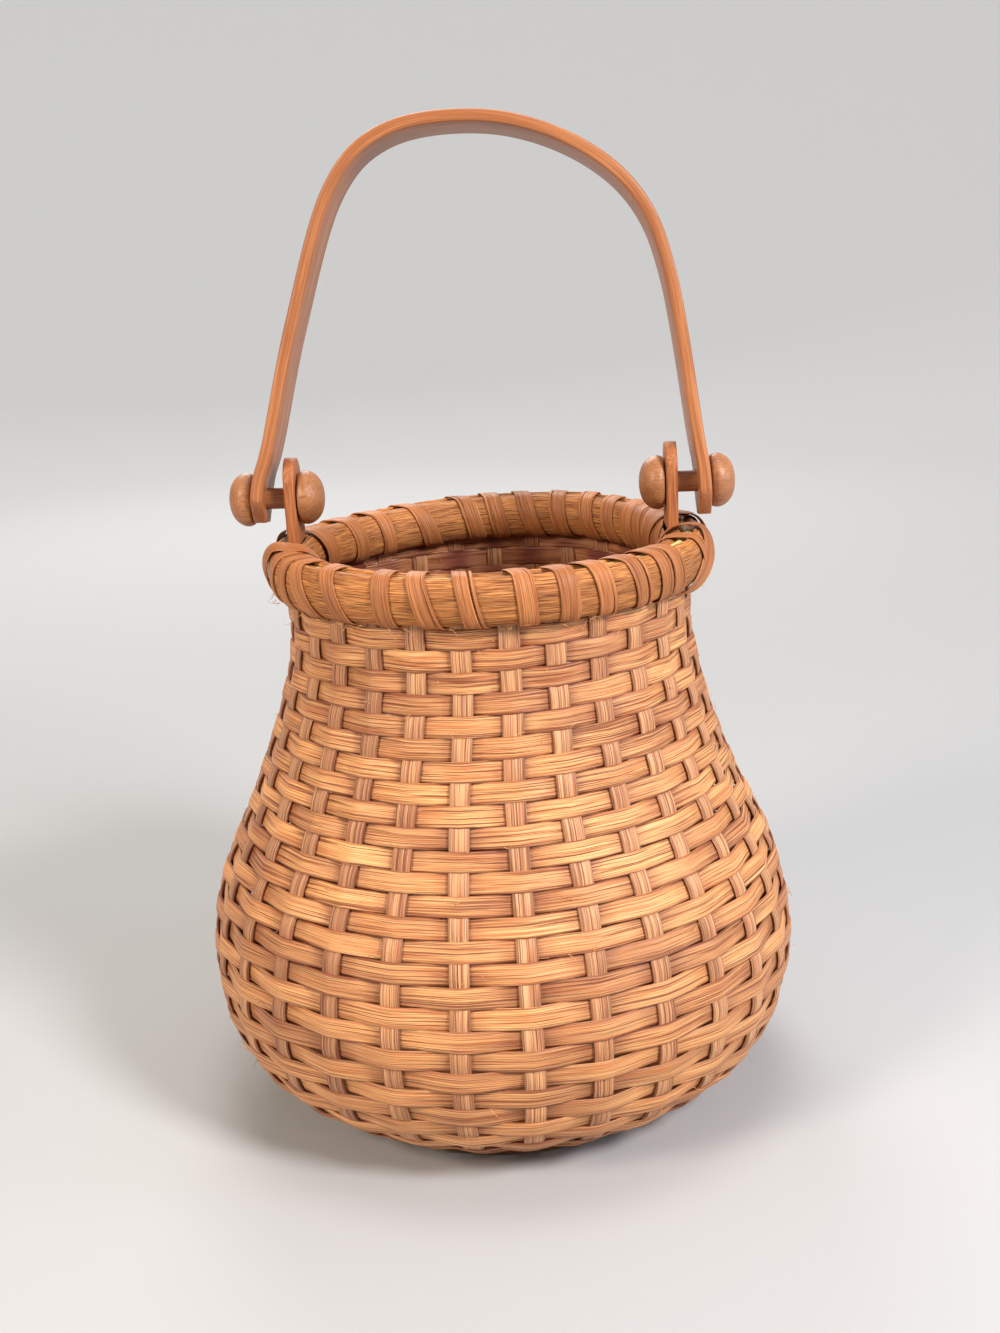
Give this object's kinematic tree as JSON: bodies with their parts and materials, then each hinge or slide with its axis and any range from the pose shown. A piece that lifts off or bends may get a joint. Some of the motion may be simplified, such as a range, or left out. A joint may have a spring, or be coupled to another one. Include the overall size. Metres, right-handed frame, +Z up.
{
  "type": "nantucket basket",
  "caption": "Round pot-bellied basket of flat woven reed with a lashed wooden rim and a bent wooden swing handle on pins with turned knobs.",
  "frame": {"origin": "middle of the flat underside of the base, where the basket's axis meets the table", "axes": "+Z up the basket's axis, +X along the handle's pins to the picture's right, +Y away from the picture's viewer"},
  "size_m": [0.1961, 0.1958, 0.3127],
  "materials": {
    "woven_reed": "dry honey-tan flat reed",
    "stake_reed": "dry honey-tan flat reed",
    "hoop_wood": "dry half-round reed",
    "filler_reed": "dry pale reed",
    "lashing_reed": "dry flat reed",
    "ear_wood": "satin wood",
    "handle_wood": "smooth satin bent wood",
    "knob_wood": "smooth turned wood",
    "turned_base": "satin turned wood"
  },
  "bodies": {
    "basket": {"base_disc": "turned_base", "stake_01": "stake_reed", "stake_02": "stake_reed", "stake_03": "stake_reed", "stake_04": "stake_reed", "stake_05": "stake_reed", "stake_06": "stake_reed", "stake_07": "stake_reed", "stake_08": "stake_reed", "stake_09": "stake_reed", "stake_10": "stake_reed", "stake_11": "stake_reed", "stake_12": "stake_reed", "stake_13": "stake_reed", "stake_14": "stake_reed", "stake_15": "stake_reed", "stake_16": "stake_reed", "stake_17": "stake_reed", "stake_18": "stake_reed", "stake_19": "stake_reed", "stake_20": "stake_reed", "stake_21": "stake_reed", "stake_22": "stake_reed", "stake_23": "stake_reed", "stake_24": "stake_reed", "stake_25": "stake_reed", "stake_26": "stake_reed", "stake_27": "stake_reed", "stake_28": "stake_reed", "stake_29": "stake_reed", "weaver_1": "woven_reed", "weaver_2": "woven_reed", "weaver_3": "woven_reed", "weaver_4": "woven_reed", "weaver_5": "woven_reed", "weaver_6": "woven_reed", "weaver_7": "woven_reed", "weaver_8": "woven_reed", "outer_hoop": "hoop_wood", "inner_hoop": "hoop_wood", "rim_filler": "filler_reed", "front_lashing": "lashing_reed", "back_lashing": "lashing_reed", "left_ear": "ear_wood", "right_ear": "ear_wood"},
    "handle": {"handle": "handle_wood"},
    "left_pin": {"left_pin": "knob_wood", "left_inner_knob": "knob_wood", "left_outer_knob": "knob_wood"},
    "right_pin": {"right_pin": "knob_wood", "right_inner_knob": "knob_wood", "right_outer_knob": "knob_wood"}
  },
  "joints": [
    {"name": "handle_swing", "type": "hinge", "parent": "basket", "child": "handle", "pos_m": [0, 0, 0.198], "axis": [1, 0, 0], "range_deg": [-85, 98]},
    {"name": "left_pin_spin", "type": "hinge", "parent": "basket", "child": "left_pin", "pos_m": [-0.065, 0, 0.198], "axis": [1, 0, 0], "continuous": true},
    {"name": "right_pin_spin", "type": "hinge", "parent": "basket", "child": "right_pin", "pos_m": [0.065, 0, 0.198], "axis": [1, 0, 0], "continuous": true}
  ]
}
